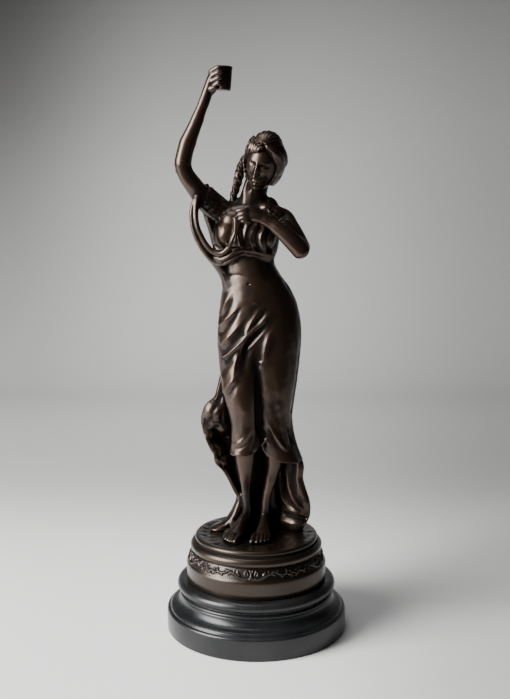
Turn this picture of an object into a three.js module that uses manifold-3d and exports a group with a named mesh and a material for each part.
// A bronze statuette of a woman who lifts a small beaker, on a bronze plinth and a turned marble base.
// Millimetres, +Z up, origin at the centre of the base's underside. She faces -Y, so her right hand is at -X.

import * as THREE from 'three';
import { mergeVertices } from 'three/addons/utils/BufferGeometryUtils.js';
import Module from 'manifold-3d';

const wasm = await Module();
wasm.setup();

// Driving dimensions
const BASE_RADIUS = 80;
const BASE_TOP = 45.5;
const GROUND = 86; // the plinth's top, where she stands
const PLINTH_RADIUS = 62.2;
const GARLAND_REPEATS = 5;
const GARLAND_START = -4; // degrees round the plinth from its front to the first clasp
const ROUND_SIDES = 36;
const CUP_RADIUS = 6.7;
const CUP_HEIGHT = 19.4;
const CUP_WALL = 1.2;
const CUP_CENTRE = [-26.9, -15, 478.5];
const CUP_LEAN = 3; // degrees, towards her left
const HAND_GAP = 0.3; // between the beaker and the fingers round it
const HEAD_CENTRE = [6.9, -3, 412.5];
const HEAD_RADII = [14, 17.5, 20.5];
const HEAD_BOW = 28; // degrees forward
const HEAD_TURN = -12; // degrees, to her right
const HEAD_TILT = 9; // degrees, crown to her left
const SKIRT_TOP = 317; // the crease of her dress at the waist
const MANTLE_TOP = 238;
const MANTLE_THICKNESS = 4.4;

const vec = (x, y, z) => new THREE.Vector3(x, y, z);
const radians = THREE.MathUtils.degToRad;
const { clamp, lerp, smoothstep } = THREE.MathUtils;

/** A three.js geometry as a closed solid with its faces pointing out. */
function solidOf(geometry) {
  geometry.deleteAttribute('normal');
  geometry.deleteAttribute('uv');
  const merged = mergeVertices(geometry, 1e-3);
  const index = merged.index.array;
  const faces = [];
  for (let i = 0; i < index.length; i += 3) {
    const [a, b, c] = [index[i], index[i + 1], index[i + 2]];
    if (a !== b && b !== c && c !== a) faces.push(a, b, c);
  }
  const vertProperties = new Float32Array(merged.attributes.position.array);
  let volume = 0;
  const corner = (i) => vec(...vertProperties.subarray(3 * i, 3 * i + 3));
  for (let i = 0; i < faces.length; i += 3) {
    volume += corner(faces[i]).dot(corner(faces[i + 1]).cross(corner(faces[i + 2])));
  }
  const triVerts = new Uint32Array(volume < 0 ? faces.reverse() : faces);
  return new wasm.Manifold(new wasm.Mesh({ numProp: 3, vertProperties, triVerts }));
}

/** A closed solid as a three.js geometry. */
function geometryOf(solid) {
  const mesh = solid.getMesh();
  const geometry = new THREE.BufferGeometry();
  geometry.setAttribute('position', new THREE.BufferAttribute(mesh.vertProperties, 3));
  geometry.setIndex(new THREE.BufferAttribute(mesh.triVerts, 1));
  geometry.computeVertexNormals();
  return geometry;
}

const join = (solids) => solids.reduce((all, solid) => all.add(solid));

/** Moves every vertex of a geometry to the place that move gives for it. */
function reshape(geometry, move) {
  const position = geometry.attributes.position;
  const point = vec(0, 0, 0);
  for (let i = 0; i < position.count; i++) {
    position.setXYZ(i, ...move(point.fromBufferAttribute(position, i)).toArray());
  }
  return geometry;
}

/** Values that change smoothly with height, from rows of [z, value, value ...] listed from the top down. */
function track(rows) {
  const slope = (i, k) => {
    const [above, below] = [rows[Math.max(i - 1, 0)], rows[Math.min(i + 1, rows.length - 1)]];
    return (below[k] - above[k]) / (below[0] - above[0]);
  };
  return (z) => {
    const passed = rows.findIndex((row) => z > row[0]);
    const i = clamp(passed < 0 ? rows.length : passed, 1, rows.length - 1);
    const [from, to] = [rows[i - 1], rows[i]];
    const span = to[0] - from[0];
    const t = clamp((z - from[0]) / span, 0, 1);
    const [h0, h1] = [(1 + 2 * t) * (1 - t) ** 2, t * (1 - t) ** 2];
    const [h2, h3] = [t * t * (3 - 2 * t), t * t * (t - 1)];
    return from.slice(1).map((value, k) =>
      h0 * value + h1 * span * slope(i - 1, k + 1) + h2 * to[k + 1] + h3 * span * slope(i, k + 1));
  };
}

/** An oval limb along a smooth path through stations of [x, y, z, half width, half depth]. */
function limb(stations, { sides = 7, steps = stations.length - 1, side = vec(1, 0, 0) } = {}) {
  const path = new THREE.CatmullRomCurve3(stations.map(([x, y, z]) => vec(x, y, z)));
  const size = new THREE.CatmullRomCurve3(stations.map(([, , , a, b]) => vec(a, b ?? a, 0)));
  return solidOf(reshape(new THREE.CylinderGeometry(1, 1, 1, sides, steps), ({ x, y, z }) => {
    const t = clamp(y + 0.5, 0, 1);
    const along = path.getTangent(t);
    const across = side.clone().addScaledVector(along, -side.dot(along)).normalize();
    const through = along.cross(across);
    const half = size.getPoint(t);
    return path.getPoint(t).addScaledVector(across, half.x * x).addScaledVector(through, half.y * z);
  }));
}

/** An egg-shaped mass at a centre with half sizes, turned by degrees about Y. */
function mass(centre, radii, turn = 0, detail = 1) {
  const geometry = new THREE.IcosahedronGeometry(1, detail);
  geometry.scale(...radii).rotateY(radians(turn)).translate(...centre);
  return solidOf(geometry);
}

/** A solid of revolution about +Z from an outline of [radius, z] that starts and ends on the axis. */
function turned(outline, sides = ROUND_SIDES) {
  const points = outline.map(([radius, z]) => new THREE.Vector2(radius, z));
  return solidOf(new THREE.LatheGeometry(points, sides).rotateX(Math.PI / 2));
}

/** Points of an oval arc in an outline, from one angle to another in degrees. */
function arc(centre, radii, from, to, count) {
  return Array.from({ length: count + 1 }, (_, i) => {
    const angle = radians(lerp(from, to, i / count));
    return [centre[0] + radii[0] * Math.cos(angle), centre[1] + radii[1] * Math.sin(angle)];
  });
}

// Marble base: a plain disc, two fillets, a cove, a thin ring and a wide round rim
function marbleBase() {
  return turned([
    [0, 0], [BASE_RADIUS, 0], [BASE_RADIUS, 18.4], [78.8, 19.4], [77.2, 19.5], [76.4, 21.6], [75.2, 23],
    ...arc([74.6, 31.2], [7.2, 8.2], 248, 188, 2),
    ...arc([66.9, 33.2], [1.9, 1.6], -50, 60, 1), [66.5, 35.6],
    ...arc([65.8, 40.6], [4.8, 4.9], -70, 90, 4), [0, BASE_TOP],
  ]);
}

// Plinth: a plain band, a sloping frieze, a torus and a rim round the ground that she stands on
const FRIEZE_FOOT = [61.1, 62.6];
const FRIEZE_HEAD = [57.4, 71.6];

function plinthBody() {
  return turned([
    [0, BASE_TOP], [PLINTH_RADIUS, BASE_TOP], [PLINTH_RADIUS, 61.2], FRIEZE_FOOT, FRIEZE_HEAD,
    ...arc([54.8, 75.8], [3.9, 4.4], -45, 75, 3),
    ...arc([51.9, 83], [2.6, 2.8], -10, 90, 2), [0, GROUND],
  ]);
}

/** A point on the frieze: degrees round the plinth, share of the way up it, and height above its face. */
function onFrieze(angle, up, height) {
  const radius = lerp(FRIEZE_FOOT[0], FRIEZE_HEAD[0], up) + height;
  const z = lerp(FRIEZE_FOOT[1], FRIEZE_HEAD[1], up) + 0.4 * height;
  return vec(radius * Math.sin(radians(angle)), -radius * Math.cos(radians(angle)), z);
}

/** A leaf in relief between two points of the frieze, each [degrees, share up]. */
function leaf(from, to, width, rise = 1.1) {
  const [start, end] = [onFrieze(...from, 0), onFrieze(...to, 0)];
  const middle = start.clone().lerp(end, 0.5);
  const outward = vec(middle.x, middle.y, 18).normalize();
  const along = end.clone().sub(start);
  const length = along.length();
  along.normalize();
  const frame = new THREE.Matrix4().makeBasis(along, outward.clone().cross(along), outward);
  const geometry = new THREE.OctahedronGeometry(1).scale(length / 2, width / 2, rise);
  return solidOf(geometry.applyMatrix4(frame).translate(middle.x, middle.y, middle.z));
}

/** One repeat of the garland: a clasp with a scroll each side, and a leafy stem that runs on to the next. */
function garland(middle) {
  const parts = [leaf([middle, 0.05], [middle, 0.95], 2.8, 1.6)];
  const scroll = [[1.2, 0.95], [2.6, 0.15], [7.2, 0.6]];
  const leaves = [[9.5, 0.2, 18, 0.7], [18.5, 0.66, 27, 0.3], [27.5, 0.3, 35.8, 0.62]];
  for (const way of [-1, 1]) {
    for (let i = 1; i < scroll.length; i++) {
      const [from, to] = [scroll[i - 1], scroll[i]].map(([angle, up]) => [middle + way * angle, up]);
      parts.push(leaf(from, to, 2.2));
    }
    for (const [a, low, b, high] of leaves) {
      parts.push(leaf([middle + way * a, low], [middle + way * b, high], 2.6));
    }
  }
  return join(parts);
}

function plinth() {
  const step = 360 / GARLAND_REPEATS;
  const repeats = Array.from({ length: GARLAND_REPEATS }, (_, i) => garland(GARLAND_START + step * i));
  return join([plinthBody(), ...repeats]);
}

// Beaker in her raised hand: hollow, with a floor, and a little wider at the mouth
function cupOutline(grow) {
  const half = CUP_HEIGHT / 2;
  const [foot, mouth] = [CUP_RADIUS - 0.6 + grow, CUP_RADIUS + 0.2 + grow];
  return [
    [0, -half - grow], [foot - 0.5, -half - grow], [foot, -half + 0.8],
    [mouth, half - 1], [mouth - 0.3, half + grow],
  ];
}

const placeCup = (solid) => solid.rotate([0, CUP_LEAN, 0]).translate(CUP_CENTRE);

function cup() {
  const half = CUP_HEIGHT / 2;
  const inside = CUP_RADIUS - CUP_WALL;
  return placeCup(turned([
    ...cupOutline(0), [inside, half], [inside - 0.4, 2 * CUP_WALL - half], [0, 2 * CUP_WALL - half],
  ], 16));
}

const cupSpace = () => placeCup(turned([...cupOutline(HAND_GAP), [0, CUP_HEIGHT / 2 + HAND_GAP]], 16));

// Body: trunk, breasts, neck and shoulders
const CHEST_SIDE = vec(Math.cos(radians(9)), -Math.sin(radians(9)), 0);

function trunk() {
  return limb([
    [-2, 1.5, 306, 22, 16], [-4.4, 1, 317.5, 22.2, 17.2], [-6.5, 0, 327, 20.5, 16.4], [-8, 0, 337, 27, 18],
    [-8.8, 0, 347, 29, 19], [-8.8, 1, 358, 29, 18], [-8, 3, 368, 27.5, 14], [-5, 4, 376, 18, 10.5],
    [-2, 5, 382, 9.6, 8.6],
  ], { sides: 12, side: CHEST_SIDE });
}

function bust() {
  return [mass([-24, -12, 349.5], [10.5, 11.5, 11.5], 8), mass([2.5, -14.5, 349.5], [10.5, 10.5, 11.5], -8)];
}

function neck() {
  return limb([[-3, 6, 370, 11, 10], [0, 4, 385, 9.6, 9.6], [4, 1, 401, 9.2, 9.2]], { sides: 8 });
}

// Arms
function raisedArm() {
  return [
    limb([
      [-26, 4, 364, 11, 11], [-35, 3, 371, 11, 10], [-44, -2, 379.5, 9.2, 9.2],
      [-52.8, -9, 391.2, 7.8, 7.8], [-60, -14, 403, 7.2, 7.2], [-61.4, -15, 409, 5.5, 5.5],
    ]),
    limb([
      [-60.6, -14, 403, 6, 6], [-61.1, -15, 411, 7.3, 7.2], [-56.2, -15.6, 428.7, 7, 6.6],
      [-49, -16, 445, 5.6, 5.3], [-45, -16, 455, 4.9, 4.4], [-41, -15.5, 465, 4.5, 4],
    ]),
  ];
}

function foldedArm() {
  return [
    limb([
      [13, 3, 367, 9, 8], [20.5, 0, 365.5, 9.6, 9], [27, -8, 357.5, 9, 9],
      [34.5, -18, 345.5, 8.4, 8.4], [40, -26, 334.8, 7.2, 7.2], [41, -27.5, 331.5, 5, 5],
    ]),
    limb([
      [42, -26, 332.5, 5, 5], [38.5, -27, 336.5, 7.6, 7.6], [29.5, -28.5, 346.3, 7.3, 7],
      [17, -28.5, 356.6, 5.7, 5.3], [8, -27.5, 362.8, 4.7, 4.2], [1, -26.5, 366.3, 4.3, 3.3],
    ]),
  ];
}

/** The hand round the beaker: a palm on its outer side, four fingers round the front and the thumb behind. */
function raisedHand() {
  const [x, y] = CUP_CENTRE;
  const round = (angle, z, half) => {
    const reach = CUP_RADIUS + 0.8 + half;
    return [x + reach * Math.cos(radians(angle)), y + reach * Math.sin(radians(angle)), z, half];
  };
  const parts = [limb([
    [-43.2, -15.7, 461, 4, 4], [-40.6, -15, 468, 3.8, 5.2], [-37.6, -14.8, 476, 3.6, 6.2],
    [-34.6, -14.6, 483.5, 2.2, 4.4],
  ], { sides: 6 })];
  for (let i = 0; i < 4; i++) {
    const tip = 486.3 - 4.4 * i;
    const finger = [round(190, tip - 5.6, 2), round(226, tip - 1.8, 1.8), round(262, tip, 1.2)];
    parts.push(limb(finger, { sides: 4, side: vec(0, 0, 1) }));
  }
  const thumb = [round(166, 470.5, 2.4), round(132, 475.5, 2), round(98, 479, 1.4)];
  parts.push(limb(thumb, { sides: 4, side: vec(0, 0, 1) }));
  return parts;
}

/** The hand at her breast: the back of the hand and four fingers over the gathered cloth. */
function breastHand() {
  const back = [[3, -26.8, 365.5, 4, 3.2], [-2.5, -26.8, 367.2, 4.9, 3.1], [-8.6, -26.2, 367.2, 5.2, 2.7]];
  const parts = [limb(back, { sides: 6, side: vec(0, 0, 1) })];
  for (let i = 0; i < 4; i++) {
    const z = 371.3 - 2.75 * i;
    const finger = [[-7.5, -27.4, z, 1.6], [-15.4 + 0.5 * i, -26, z - 1.6, 1.2]];
    parts.push(limb(finger, { sides: 4, side: vec(0, 0, 1) }));
  }
  return parts;
}

// Head, with everything on it placed in the head's own frame
const HEAD_FRAME = new THREE.Matrix4().makeTranslation(...HEAD_CENTRE)
  .multiply(new THREE.Matrix4().makeRotationY(radians(HEAD_TILT)))
  .multiply(new THREE.Matrix4().makeRotationZ(radians(HEAD_TURN)))
  .multiply(new THREE.Matrix4().makeRotationX(radians(HEAD_BOW)));
const onHead = (solid) => solid.transform(HEAD_FRAME.elements);

/** The head's surface in a direction from its centre: an egg that narrows to the chin. */
function skull({ x, y, z }, grow = 0) {
  const low = clamp(-z, 0, 1);
  const narrow = 1 - 0.3 * low * low;
  const [a, b, c] = HEAD_RADII.map((radius) => radius + grow);
  return vec(a * x * narrow, b * y * (1 - 0.2 * low) - 4 * low * low, c * z);
}

function face() {
  const sphere = new THREE.SphereGeometry(1, 12, 9).rotateX(Math.PI / 2);
  const egg = solidOf(reshape(sphere, (point) => skull(point)));
  const ridge = [[0, -16, 3, 1.2, 1.4], [0, -18.8, -4.6, 2, 2.2], [0, -15.4, -6.8, 1.6, 1.2]];
  return [egg, limb(ridge, { sides: 5 }), mass([0, -16.2, -10.4], [3.3, 2.2, 1.7], 0, 0)];
}

/** Hair drawn back over the head, left open at the face and the nape. */
function hairCap() {
  const sphere = new THREE.SphereGeometry(1, 12, 9).rotateX(Math.PI / 2);
  return solidOf(reshape(sphere, (point) => {
    const faceward = smoothstep(-point.y - 0.4 * Math.abs(point.x) - 0.62 * Math.max(point.z, 0), 0.12, 0.32);
    const nape = smoothstep(-point.z, 0.45, 0.8);
    return skull(point, lerp(3.2, -2.5, Math.max(faceward, nape)));
  }));
}

function hairMasses() {
  return [
    mass([1, 2, 20], [9.5, 10, 4.6], -4), // rolled over the crown
    mass([-11.8, -6, 10.5], [4.8, 6, 6], 30, 0), // curls at her right temple
    mass([12.5, -1.5, 4], [4.2, 8, 9.5], -8), // swept back over her left ear
    mass([0, 17.5, -4], [9.5, 6.5, 8], 0, 0), // knot at the nape
  ];
}

/** A loose plait from behind her right ear down to the shoulder. */
function plait() {
  return limb([
    [-8, 3, 409, 4.4, 4], [-10.5, 4.5, 402.5, 3, 3.4], [-13.4, 5.5, 396, 4.6, 4.2], [-15, 6, 389.5, 3, 3.2],
    [-18, 5.5, 383.5, 4.4, 3.8], [-19.6, 4, 376, 2.4, 3],
  ], { sides: 5 });
}

// Legs and feet
function legs() {
  return [
    limb([
      [-10, -9, 176, 9.5, 10], [-9.7, -5, 156.5, 9.2, 9.6], [-9.2, -2, 138.5, 6.6, 8], [-9, 1, 124, 4.6, 5.8],
      [-8.4, 3, 114.5, 4, 5.2], [-7.4, 4.5, 98, 4.4, 5.8],
    ], { sides: 6 }),
    limb([
      [17.5, -2, 176, 9, 10], [16, 2, 146.5, 7.4, 8.6], [13, 3, 131.5, 5.7, 7], [9.8, 3, 119, 4.5, 5.4],
      [8.7, 3.5, 111, 4.4, 5.4], [8.4, 4.5, 93, 4.6, 6],
    ], { sides: 6 }),
  ];
}

/** A bare foot from its heel to the root of its toes, and five toes fanned across its end. */
function foot({ heel, heelUp, direction, outward }) {
  const ahead = vec(Math.sin(radians(direction)), -Math.cos(radians(direction)), 0);
  const aside = vec(Math.cos(radians(direction)), Math.sin(radians(direction)), 0);
  const at = (along, across, z) =>
    vec(...heel, 0).addScaledVector(ahead, along).addScaledVector(aside, across).setZ(GROUND + z).toArray();
  const parts = [limb([
    [...at(-3.5, 0, 5 + heelUp), 3, 3], [...at(0, 0, 6 + heelUp), 4.4, 5.8],
    [...at(7, 0, 7 + 0.8 * heelUp), 4.6, 6.2], [...at(15, 0, 5.6 + 0.55 * heelUp), 5.2, 5.2],
    [...at(25, 0, 3.4 + 0.2 * heelUp), 7, 4], [...at(33, 0, 2), 7.6, 2.8],
  ], { sides: 6, side: aside })];
  for (let toe = 0; toe < 5; toe++) {
    const across = outward * (-5.6 + 3 * toe);
    const half = toe === 0 ? 2.4 : 1.9 - 0.1 * toe;
    const reach = 42.5 - 0.35 * toe * toe - 0.8 * toe;
    parts.push(limb([[...at(29, 0.9 * across, 2.6), half], [...at(reach, across, 1.2), 0.8 * half]], {
      sides: 4, side: aside,
    }));
  }
  return parts;
}

function feet() {
  return [
    ...foot({ heel: [-7, 6], heelUp: 5, direction: -24, outward: -1 }),
    ...foot({ heel: [8.5, 6], heelUp: 0, direction: -9, outward: 1 }),
  ];
}

// Skirt: one cloth over the hips and both thighs, drawn in between the legs, with its hem at mid calf
const HIPS = track([
  [SKIRT_TOP, -4, 1, 23.4, 18], [304, 0, 1.5, 29, 20.2], [285, 2.5, 2, 33, 23],
  [266, 3, 2, 32, 23], [248, 3, 2, 22, 18], [232, 3, 2, 6, 6],
]);
const RIGHT_THIGH = track([
  [318, -4, 0, 12], [290, -9, 0, 17], [264, -12.5, -1, 20], [240, -13, -4, 19], [222, -12, -7.5, 18],
  [205, -10.5, -9.5, 15.8], [188, -9, -10, 13.2], [172, -8.8, -9, 13], [156, -9, -7, 14.8],
]);
const LEFT_THIGH = track([
  [318, -2, 0, 12], [290, 13, 2, 18], [264, 15.5, 1, 22.5], [240, 15.5, -1, 21], [222, 15.5, -3, 18.5],
  [205, 16, -4, 15.2], [188, 16, -4, 13.2], [172, 18, -2, 14.2], [150, 23, -1, 17],
]);

const SEAT = track([
  [SKIRT_TOP, -4, 4, 14, 12], [300, 1, 4.5, 24, 17], [275, 2.5, 6, 29, 20.5], [240, 2, 6.5, 29, 19.5],
  [205, 1, 6, 27, 18.5], [172, 5, 6, 24, 16.5], [150, 4, 4, 19, 11],
]);

/** Ridges of the skirt in front view: each runs through [x, z] points and has a half width and a height. */
const SKIRT_RIDGES = [
  { path: [[22, 288], [0, 266], [-29, 243]], half: 4, height: 2.4 },
  { path: [[0, 284], [-16, 274], [-31, 258]], half: 3.6, height: 1.6 },
  { path: [[14, 262], [4, 246], [-12, 226]], half: 4, height: 1.5 },
  { path: [[12, 205], [18, 182], [30, 158]], half: 3.4, height: 1.6 },
  { path: [[-22, 178], [-12, 164], [0, 168]], half: 3.2, height: 1.2 },
].map(({ path, half, height }) => {
  const curve = new THREE.QuadraticBezierCurve(...path.map(([x, z]) => new THREE.Vector2(x, z)));
  return { points: curve.getPoints(16), half, height };
});

function ridgeHeight(x, z) {
  const heights = SKIRT_RIDGES.map(({ points, half, height }) => {
    const gap = Math.min(...points.map((point) => Math.hypot(point.x - x, point.y - z)));
    return height * Math.exp(-((gap / half) ** 2));
  });
  return heights.reduce((sum, height) => sum + height);
}

/** How far a point is outside the cloth drawn over the hips, the seat and the thighs. */
function outsideSkirt(x, y, z) {
  const [hx, hy, ha, hb] = HIPS(z);
  const [rx, ry, rr] = RIGHT_THIGH(z);
  const [lx, ly, lr] = LEFT_THIGH(z);
  const [sx, sy, sa, sb] = SEAT(z);
  const hips = (Math.hypot((x - hx) / ha, (y - hy) / hb) - 1) * Math.min(ha, hb);
  const seat = (Math.hypot((x - sx) / sa, (y - sy) / sb) - 1) * Math.min(sa, sb);
  const gaps = [hips, seat, Math.hypot(x - rx, y - ry) - rr, Math.hypot(x - lx, y - ly) - lr];
  const softness = 2.2;
  return -softness * Math.log(gaps.reduce((sum, gap) => sum + Math.exp(-gap / softness), 0));
}

function hemHeight(angle) {
  const toLeft = Math.sin(angle);
  const front = smoothstep(Math.cos(angle), 0.1, 0.9);
  const swag = 8 * front * Math.exp(-(((toLeft + 0.1) / 0.34) ** 2));
  return 159 + swag - 8 * smoothstep(toLeft, 0.3, 1);
}

function skirt() {
  return solidOf(reshape(new THREE.CylinderGeometry(1, 1, 1, 28, 13), ({ x, y, z }) => {
    const angle = Math.atan2(x, z); // 0 in front, a quarter turn at her left
    const height = lerp(hemHeight(angle), SKIRT_TOP, clamp(y + 0.5, 0, 1));
    const middle = vec(3, -2, height);
    const ray = vec(Math.sin(angle), -Math.cos(angle), 0);
    let [near, far] = [0, 60];
    for (let i = 0; i < 24; i++) {
      const reach = (near + far) / 2;
      if (outsideSkirt(middle.x + ray.x * reach, middle.y + ray.y * reach, height) < 0) near = reach;
      else far = reach;
    }
    const front = smoothstep(Math.cos(angle), 0, 0.4);
    const ridge = front * ridgeHeight(middle.x + ray.x * near, height);
    return middle.addScaledVector(ray, (near + ridge) * Math.hypot(x, z));
  }));
}

// Mantle: a long cloth behind her legs down to the ground, blown out to both sides
const MANTLE_EDGES = track([
  [MANTLE_TOP, -29, 32, 25], [216, -33, 31, 27], [206, -39.5, 30, 25], [197, -46, 29, 25],
  [184, -50, 29.5, 25], [170, -46.5, 34.5, 26], [158, -42, 36, 26], [148, -37.5, 41, 26],
  [133, -26, 43, 27], [119, -19, 45.5, 28], [106, -17, 49, 29], [96, -19, 47, 29], [GROUND, -21, 44, 28],
]);

/** A point of the mantle's middle layer, by share of the way from its edge at her right, and height. */
function mantlePoint(share, z) {
  const [left, right, depth] = MANTLE_EDGES(z);
  const fall = smoothstep(MANTLE_TOP - z, 0, 80);
  const curl = 46 * smoothstep(160 - z, 0, 40);
  const angle = radians(lerp(186, -curl, share));
  const fold = fall * 2.4 * Math.cos(radians(1080 * share + 0.6 * z));
  const reach = (right - left) / 2 - MANTLE_THICKNESS / 2;
  const centre = vec((left + right) / 2, 3 + 4 * smoothstep(150 - z, 0, 40), z);
  return centre.add(vec((reach + 0.4 * fold) * Math.cos(angle), (depth - 6 + fold) * Math.sin(angle), 0));
}

function mantle() {
  return solidOf(reshape(new THREE.BoxGeometry(1, 1, 1, 14, 1, 9), ({ x, y, z }) => {
    const share = x + 0.5;
    const height = lerp(GROUND - 1, MANTLE_TOP, z + 0.5);
    const along = mantlePoint(share + 0.02, height).sub(mantlePoint(share - 0.02, height)).normalize();
    return mantlePoint(share, height).addScaledVector(vec(-along.y, along.x, 0), MANTLE_THICKNESS * y);
  }));
}

/** The train: the mantle's tail, which runs down behind her right foot and out along the ground. */
function train() {
  const tail = limb([
    [-16.5, 9, 130, 4.6, 5], [-14.5, 8, 112, 4.6, 5], [-18, 8, 99, 5, 4.4], [-25, 9, 90.5, 4.6, 4.6],
    [-34, 10, 88.4, 4, 4.2], [-41, 10, 87.4, 2.6, 2.8],
  ], { sides: 5, side: vec(0, 1, 0) });
  const rumples = [[-25.5, -14, 87.6]];
  return [tail, ...rumples.map((centre) => mass(centre, [4, 7, 2.8], 0, 0))];
}

// Shawl: a cloth over the raised arm, hanging in a loop below her breast and gathered in her left hand
function shawl() {
  return [
    // rolled edge
    limb([
      [-44, 3, 390.5, 2.2, 2.2], [-47.6, -9, 387.5, 2.6, 2.4], [-51, -15, 378.2, 2.7, 2.4],
      [-52.2, -16, 367, 2.7, 2.4], [-50.9, -16.5, 358, 2.7, 2.6], [-47.4, -16.5, 349.4, 2.8, 2.8],
      [-41.5, -17, 340.4, 2.8, 2.8], [-35.6, -18.5, 335.2, 2.8, 2.8], [-29.6, -20.5, 334.4, 2.8, 2.6],
      [-24.6, -23, 339, 2.6, 2.4], [-20.6, -25, 346.4, 2.4, 2.2], [-18, -26, 356, 2.2, 2],
      [-17.4, -25.5, 366, 2.2, 2],
    ], { sides: 5, side: vec(1, 0, 0.3) }),
    // broad fold outside the edge
    limb([
      [-48, -8, 384, 3, 4], [-53.6, -12, 370, 3, 4], [-53.4, -12, 358, 3.2, 4.4], [-48.6, -12, 346.5, 3.6, 5],
      [-40.5, -11, 336, 4.2, 6], [-30.5, -9, 323, 6, 7], [-24, -6, 306, 5.4, 6],
    ], { sides: 5, side: vec(1, 0, 0.6) }),
    // inner side, from the arm down to her ribs
    limb([
      [-42, 4, 380, 4, 7], [-40, 5, 368, 5, 6], [-36.6, 5, 354, 4.6, 6], [-32.5, 3, 338, 4, 6],
    ], { sides: 5 }),
    // tassel of gathers below the hand
    limb([
      [-16, -25, 362, 3, 2.4], [-16.6, -26, 354, 2, 2], [-17.6, -25, 347, 3.4, 2.4],
      [-18, -23.5, 342, 4.6, 2.6],
    ], { sides: 5 }),
  ];
}

/** The bodice: a fold round her left breast, and a girdle of gathers below both breasts. */
function bodice() {
  const path = [[10, -18, 365, 2.6], [-1, -24, 358, 2.6], [-8, -24.5, 347, 2.4], [-4, -20.5, 336, 2.4]];
  const girdle = limb([
    [-44, -15, 337, 2.6, 3], [-34, -18, 330, 2.8, 3.2], [-24, -19, 331, 2.6, 3], [-10, -19.5, 336.5, 2.6, 3],
    [5, -17.5, 335, 2.4, 3], [14, -10, 332, 2.4, 3],
  ], { sides: 4, side: vec(0, 0, 1) });
  return [limb(path, { sides: 4 }), girdle];
}

function figure() {
  const belowGround = solidOf(new THREE.BoxGeometry(200, 200, 40).translate(0, 0, GROUND - 20));
  return join([
    trunk(), ...bust(), neck(), ...raisedArm(), ...foldedArm(), ...raisedHand(), ...breastHand(),
    ...[...face(), hairCap(), ...hairMasses()].map(onHead), plait(),
    ...legs(), ...feet(), skirt(), mantle(), ...train(), ...shawl(), ...bodice(),
  ]).subtract(cupSpace()).subtract(belowGround);
}

// Model
const BRONZE = { color: 0x3a2c20, roughness: 0.38, metalness: 0.9 };
const MARBLE = { color: 0x17181a, roughness: 0.25, metalness: 0 };

function node(name, solid, finish) {
  const mesh = new THREE.Mesh(geometryOf(solid), new THREE.MeshStandardMaterial(finish));
  mesh.name = name;
  return mesh;
}

const statuette = new THREE.Group();
statuette.add(
  node('marble_base', marbleBase(), MARBLE),
  node('plinth', plinth(), BRONZE),
  node('figure', figure(), BRONZE),
  node('torch_cup', cup(), BRONZE),
);

export default statuette;
